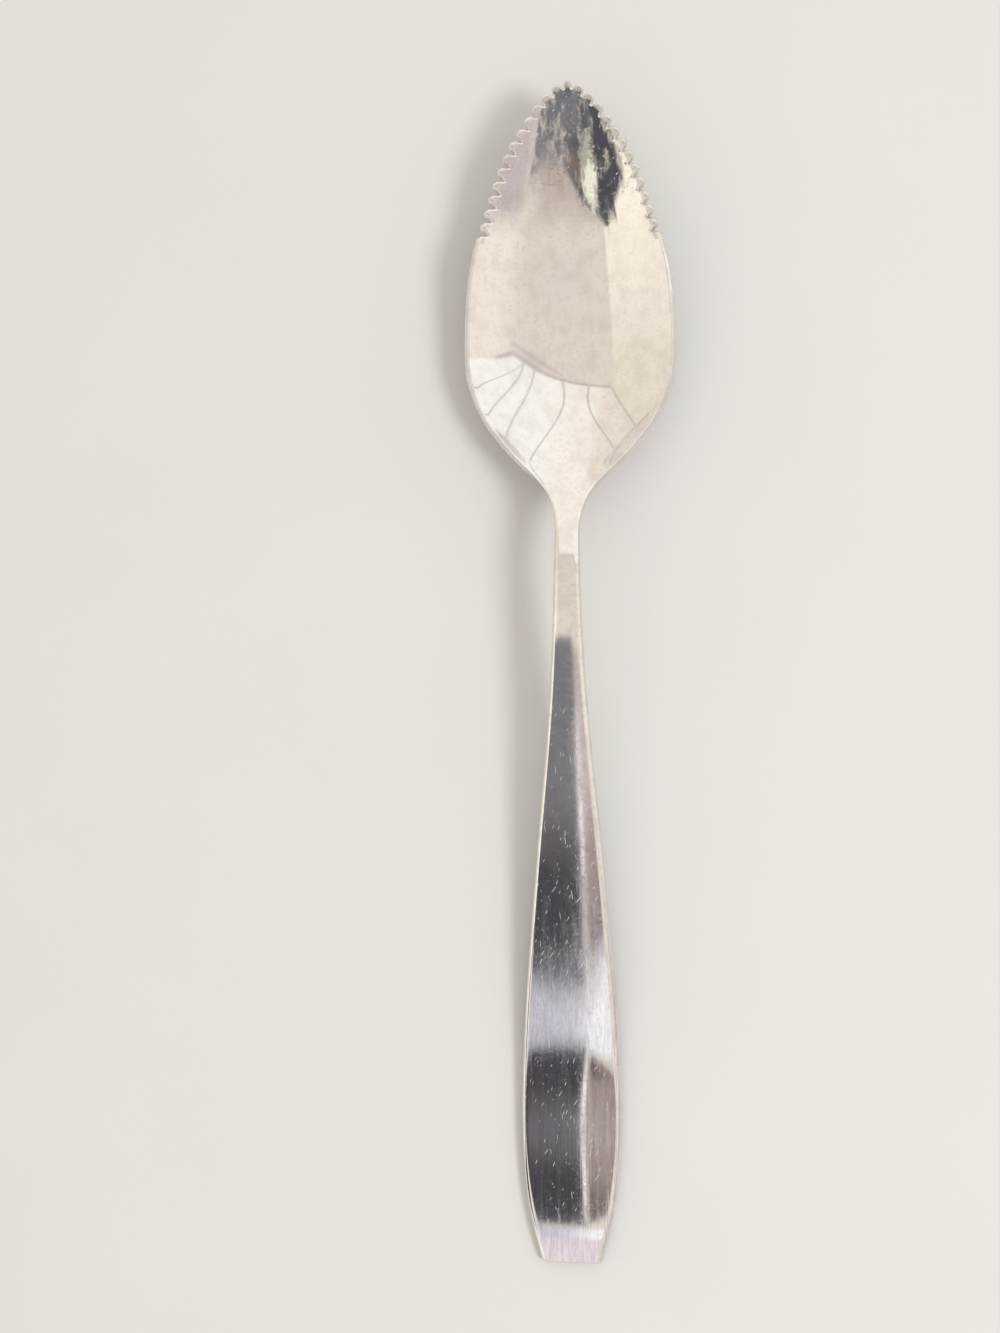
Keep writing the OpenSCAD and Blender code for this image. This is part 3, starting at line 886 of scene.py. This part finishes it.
def satin_steel():
    """Along the handle the polish gives way to fine brushing, with bright scratches from use."""
    material, tree, steel, spot = new_steel("satin_steel")
    roughness, tone, relief = polish(tree, spot)
    brushed = along_spoon(tree, spot, handle_at, handle_at + neck_l * brushed_share)
    scored = along_spoon(tree, spot, *[spoon_l * share for share in scored_shares])
    lines = place(tree, brushing, spot, Lines_across=3600, Lines_along=70, Unevenness=0.65)
    coarse = place(tree, brushing, spot, Lines_across=1500, Lines_along=40, Unevenness=0.5)
    streaks = place(tree, brushing, spot, Lines_across=2600, Lines_along=60, Unevenness=0.7)
    grit = place(tree, smudges, spot, Patches=2200, Threshold=0.5, Softness=0.15)
    busy = place(tree, smudges, spot, Patches=160, Threshold=0.4, Softness=0.25)
    nicks = place(tree, scratches, spot,
                  Turn=0.35, Cells_across=2600, Cells_along=270, Width=0.13, Share=0.28)
    cuts = place(tree, scratches, spot,
                 Turn=-0.12, Cells_across=1900, Cells_along=105, Width=0.09, Share=0.35)
    slants = place(tree, scratches, spot,
                   Turn=0.6, Cells_across=1700, Cells_along=130, Width=0.09, Share=0.25)
    worn = reckon(tree, "MAXIMUM", reckon(tree, "MAXIMUM", nicks, cuts), slants)
    worn = gathered(tree, worn, busy, calm_handle_share)
    satin = both(tree, lines, brushed_line_roughness)
    satin = add_share(tree, fade(tree, coarse, *groove_streaks), groove_roughness, satin)
    satin = add_share(tree, grit, grit_roughness, satin)
    roughness = add_share(tree, satin, brushed, roughness)
    roughness = add_share(tree, both(tree, worn, brushed), handle_wear_roughness, roughness)
    bare = both(tree, fade(tree, streaks, *bare_streaks), scored)
    tone = tint(tree, both(tree, bare, bare_share), tone, bare_tone)
    tone = tint(tree, both(tree, fade(tree, lines, *scored_lines), scored), tone, scored_tone)
    relief = bump(tree, both(tree, lines, brushed), brushed_height, relief)
    relief = bump(tree, both(tree, coarse, brushed), brushed_height, relief)
    relief = bump(tree, both(tree, worn, brushed), handle_wear_height, relief)
    give_finish(tree, steel, roughness, tone, relief)
    return material


finishes = {"ground_steel": ground_steel(), "polished_steel": polished_steel(),
            "satin_steel": satin_steel()}
slots = {"serrated_tip": "ground_steel", "bowl": "polished_steel", "neck": "polished_steel",
         "handle": "satin_steel", "handle_end": "satin_steel"}

for name, piece in pieces.items():
    piece.data.materials.append(finishes[slots[name]])
    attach(piece, "root")
    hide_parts(name)


def table_top():
    """The plain pale floor."""
    bpy.ops.mesh.primitive_plane_add(size=floor_size)
    floor = bpy.context.object
    floor.name = "floor"
    material = bpy.data.materials.new("floor")
    material.use_nodes = True
    tree = material.node_tree
    matt = tree.nodes["Principled BSDF"]
    matt.inputs["Roughness"].default_value = floor_roughness
    matt.inputs["Specular IOR Level"].default_value = floor_sheen
    spot = tree.nodes.new("ShaderNodeTexCoord").outputs["Object"]
    cloud = place(tree, smudges, spot, Patches=40, Threshold=0.3, Softness=0.4)
    cloud_tone = tuple(c * floor_cloud_lift for c in floor_tone)
    wire(tree, matt.inputs["Base Color"], tint(tree, cloud, floor_tone, cloud_tone))
    floor.data.materials.append(material)


def add_card(name, location, turn, span, drawing):
    """A glowing card that only the steel mirrors: neither the camera nor the floor sees it."""
    bpy.ops.mesh.primitive_plane_add(size=1, location=location, rotation=turn)
    card = bpy.context.object
    card.name = name
    card.scale = (*span, 1)
    material = bpy.data.materials.new(name)
    material.use_nodes = True
    tree = material.node_tree
    tree.nodes.clear()
    surface = tree.nodes.new("ShaderNodeNewGeometry").outputs
    parts = tree.nodes.new("ShaderNodeSeparateXYZ")
    tree.links.new(surface["Position"], parts.inputs[0])
    colour, mask = drawing(tree, *parts.outputs)
    front = reckon(tree, "SUBTRACT", 1.0, surface["Backfacing"])
    glow = tree.nodes.new("ShaderNodeEmission")
    wire(tree, glow.inputs["Color"], colour)
    clear = tree.nodes.new("ShaderNodeBsdfTransparent")
    mixed = tree.nodes.new("ShaderNodeMixShader")
    wire(tree, mixed.inputs[0], both(tree, mask, front))
    tree.links.new(clear.outputs[0], mixed.inputs[1])
    tree.links.new(glow.outputs[0], mixed.inputs[2])
    tree.links.new(mixed.outputs[0], tree.nodes.new("ShaderNodeOutputMaterial").inputs["Surface"])
    card.data.materials.append(material)
    card.visible_camera = card.visible_diffuse = card.visible_shadow = False


def line_through(tree, at, places):
    """The straight line through two places, each (at, value)."""
    (start, low), (stop, high) = places
    slope = (high - low) / (stop - start)
    return add_share(tree, at, slope, low - slope * start)


def bow_through(tree, fore, places):
    """The bow through three places, each (side, fore): its side over fore."""
    sides, fores = zip(*places)
    square, slope, start = np.polyfit(fores, sides, 2).tolist()
    return add_share(tree, add_share(tree, fore, square, slope), fore, start)


def past(tree, value, limit, soft):
    """1 where value is past its limit, 0 where it isn't, soft to each side of it."""
    return fade(tree, reckon(tree, "SUBTRACT", value, limit), -soft, soft)


def short_of(tree, value, limit, soft):
    """1 where value is short of its limit, 0 where it isn't, soft to each side of it."""
    return fade(tree, reckon(tree, "SUBTRACT", value, limit), soft, -soft)


def line_at(tree, value, limit, width):
    """1 where value is at its limit, 0 away from it. The width is (outer, inner)."""
    return fade(tree, reckon(tree, "ABSOLUTE", reckon(tree, "SUBTRACT", value, limit)), *width)


def inside_oval(tree, x, z, middle, radii, slant, soft):
    """1 inside a slanting oval, 0 outside it."""
    off_x = reckon(tree, "SUBTRACT", x, middle[0])
    off_z = add_share(tree, off_x, -slant, reckon(tree, "SUBTRACT", z, middle[1]))
    off_x = reckon(tree, "DIVIDE", off_x, radii[0])
    off_z = reckon(tree, "DIVIDE", off_z, radii[1])
    away = add_share(tree, off_x, off_x, both(tree, off_z, off_z))
    return fade(tree, away, 1 + soft, 1 - soft)


def high_drawing(tree, x, y, z):
    """What the card high over the spoon shows the handle: a dark room and a bright edge beside it."""
    band_edge = reckon(tree, "MAXIMUM", line_through(tree, x, band_edge_places), band_edge_y)
    over_band = past(tree, y, band_edge, band_soft)
    border = line_through(tree, y, border_places)
    left = both(tree, short_of(tree, x, border, border_soft), fade(tree, y, *dark_start_y), over_band)
    right = both(tree, past(tree, x, border, border_soft), fade(tree, y, *right_strip_y), over_band)
    edge = both(tree, line_at(tree, x, border, bright_line_width), fade(tree, y, *bright_line_y), over_band)
    right_colour = tint(tree, fade(tree, y, *rosy_to_tan_y), rosy_tone, tan_tone)
    right_colour = tint(tree, fade(tree, y, *tan_to_umber_y), right_colour, umber_tone)
    colour = tint(tree, fade(tree, y, *slate_to_deep_y), slate_tone, deep_tone)
    colour = tint(tree, right, colour, right_colour)
    colour = tint(tree, edge, colour, edge_tone)
    return colour, reckon(tree, "MAXIMUM", reckon(tree, "MAXIMUM", left, edge), right)


def near_drawing(tree, x, y, z):
    """What the card near the bowl shows the tip: a dark shape with a lit oval, under a pink glow."""
    shelf = reckon(tree, "MINIMUM", line_through(tree, x, dark_shelf), dark_shelf_z)
    left_top = line_through(tree, x, dark_corners[:2])
    right_top = line_through(tree, x, dark_corners[1:])
    top = reckon(tree, "MAXIMUM", reckon(tree, "MINIMUM", left_top, right_top), shelf)
    left_end = reckon(tree, "MINIMUM", line_through(tree, z, dark_left_places), dark_left_x)
    dark = both(tree, short_of(tree, z, top, dark_top_soft),
                past(tree, z, line_through(tree, x, dark_foot), dark_foot_soft),
                past(tree, x, left_end, dark_left_soft), fade(tree, x, *dark_right_x))
    oval = both(tree, inside_oval(tree, x, z, *lit_oval), fade(tree, x, *lit_oval_left_x))
    patch = both(tree, inside_oval(tree, x, z, *light_patch), light_patch_share)
    colour = tint(tree, fade(tree, x, *dark_to_slate_x), dark_tone, slate_tone)
    colour = tint(tree, inside_oval(tree, x, z, *brown_oval), colour, brown_tone)
    colour = tint(tree, oval, colour, oval_tone)
    colour = tint(tree, patch, colour, band_tone)
    pale = tint(tree, fade(tree, z, *pink_z), ceiling_tone, pink_tone)
    cover = both(tree, fade(tree, x, *cover_left_x), fade(tree, x, *cover_right_x))
    return tint(tree, dark, pale, colour), reckon(tree, "MAXIMUM", dark, cover)


def by_direction(tree):
    """The direction of a ray, as side and fore in degrees from straight up, and its height."""
    parts = tree.nodes.new("ShaderNodeSeparateXYZ")
    tree.links.new(tree.nodes.new("ShaderNodeTexCoord").outputs["Generated"], parts.inputs[0])
    x, y, z = parts.outputs
    flat = reckon(tree, "SQRT", add_share(tree, x, x, both(tree, y, y)))
    degrees = reckon(tree, "DEGREES", reckon(tree, "ARCCOSINE", z))
    scale = reckon(tree, "DIVIDE", degrees, reckon(tree, "MAXIMUM", flat, least_flat))
    return both(tree, x, scale), both(tree, y, scale), z


def room_walls(tree, side, fore):
    """The ceiling with the right and the left wall. The left one is brightest towards the handle."""
    left_wall = tint(tree, fade(tree, fore, *lit_wall_fore), lit_wall_tone, wall_tone)
    left_wall = tint(tree, fade(tree, fore, *far_wall_fore), left_wall, far_wall_tone)
    colour = tint(tree, fade(tree, side, *right_wall_side), ceiling_tone, wall_tone)
    return tint(tree, fade(tree, side, *left_wall_side), colour, left_wall)


def front_wall(tree, side, fore, colour):
    """Lays the wall beyond the tip over colour, with its upper edge, its left corner and its seams."""
    away = reckon(tree, "ABSOLUTE", reckon(tree, "SUBTRACT", side, front_top[0]))
    over_edge = add_share(tree, away, front_top_slope, reckon(tree, "SUBTRACT", fore, front_top[1]))
    past_corner = past(tree, side, bow_through(tree, fore, left_corner), corner_soft)
    wall = tint(tree, fade(tree, side, *middle_front_side), front_tone, middle_front_tone)
    wall = tint(tree, fade(tree, side, *left_front_side), wall, left_front_tone)
    colour = tint(tree, both(tree, past(tree, over_edge, 0.0, corner_soft), past_corner), colour, wall)
    seams = line_at(tree, over_edge, 0.0, seam_width)
    seams = both(tree, seams, fade(tree, side, *top_seam_side), past_corner)
    hem = both(tree, line_at(tree, over_edge, -hem_drop, hem_width), hem_share)
    for limit in hem_side:
        hem = both(tree, hem, fade(tree, side, *limit))
    seams = reckon(tree, "MAXIMUM", seams, hem)
    for seam in front_seams:
        foot = seam[-1][1]
        line = both(tree, line_at(tree, side, bow_through(tree, fore, seam), seam_width),
                    fade(tree, over_edge, *seam_start), fade(tree, fore, foot + seam_run_out, foot))
        seams = reckon(tree, "MAXIMUM", seams, line)
    return tint(tree, both(tree, seams, seam_share), colour, seam_tone)


def handle_bands(tree, side, fore, colour):
    """Lays over colour what the handle's lower end mirrors: a bluish band and a rosier one past it."""
    middle = both(tree, *[fade(tree, side, *limit) for limit in middle_side])
    band = tint(tree, fade(tree, side, *bright_band_side), band_tone, bright_band_tone)
    colour = tint(tree, both(tree, fade(tree, fore, *band_fore), middle), colour, band)
    colour = tint(tree, both(tree, fade(tree, fore, *end_fore), middle), colour, end_tone)
    rosy = both(tree, fade(tree, side, *rosy_side), fade(tree, fore, *rosy_fore))
    return tint(tree, rosy, colour, rosy_tone)


def far_dark(tree, side, fore, height, colour):
    """Lays the dark part of the room, far to the left, over colour."""
    limit = add_share(tree, side, far_dark_slope, far_dark_start)
    beyond = both(tree, short_of(tree, fore, limit, far_dark_soft), fade(tree, side, *far_dark_side),
                  fade(tree, height, *far_dark_height), fade(tree, fore, *far_dark_fore))
    return tint(tree, beyond, colour, dark_tone)


def studio():
    """Soft light from all around, by direction. The camera sees plain white in its place."""
    world = bpy.data.worlds.new("studio")
    bpy.context.scene.world = world
    world.use_nodes = True
    tree = world.node_tree
    tree.nodes.clear()
    side, fore, height = by_direction(tree)
    colour = room_walls(tree, side, fore)
    colour = front_wall(tree, side, fore, colour)
    colour = handle_bands(tree, side, fore, colour)
    colour = far_dark(tree, side, fore, height, colour)
    camera_sees = tree.nodes.new("ShaderNodeLightPath").outputs["Is Camera Ray"]
    light = tree.nodes.new("ShaderNodeBackground")
    wire(tree, light.inputs["Color"], tint(tree, camera_sees, colour, white_tone))
    tree.links.new(light.outputs[0], tree.nodes.new("ShaderNodeOutputWorld").inputs["Surface"])


def key_light():
    """A soft lamp from the right, which lays the spoon's shadow to its left."""
    data = bpy.data.lights.new("key_light", "AREA")
    data.shape = "DISK"
    data.size = lamp_size
    data.energy = lamp_power
    lamp = bpy.data.objects.new("key_light", data)
    bpy.context.scene.collection.objects.link(lamp)
    lamp.location = tuple(lamp_distance * c for c in lamp_direction)
    lamp.rotation_euler = Vector(lamp_direction).to_track_quat("Z", "Y").to_euler()
    lamp.visible_glossy = False


def photo_camera():
    """The camera that took the photograph."""
    data = bpy.data.cameras.new("camera")
    camera = bpy.data.objects.new("camera", data)
    bpy.context.scene.collection.objects.link(camera)
    data.sensor_fit = "VERTICAL"
    data.sensor_height = sensor_height
    data.lens = sensor_height * focal_px / picture_h_px
    data.clip_start = clip_start
    camera.location = camera_place
    camera.rotation_euler = camera_turn
    bpy.context.scene.camera = camera


table_top()
add_card("high_card", high_card_place, high_card_turn, high_card_span, high_drawing)
add_card("near_card", near_card_place, near_card_turn, near_card_span, near_drawing)
studio()
key_light()
photo_camera()
bpy.context.scene.view_settings.view_transform = "Standard"
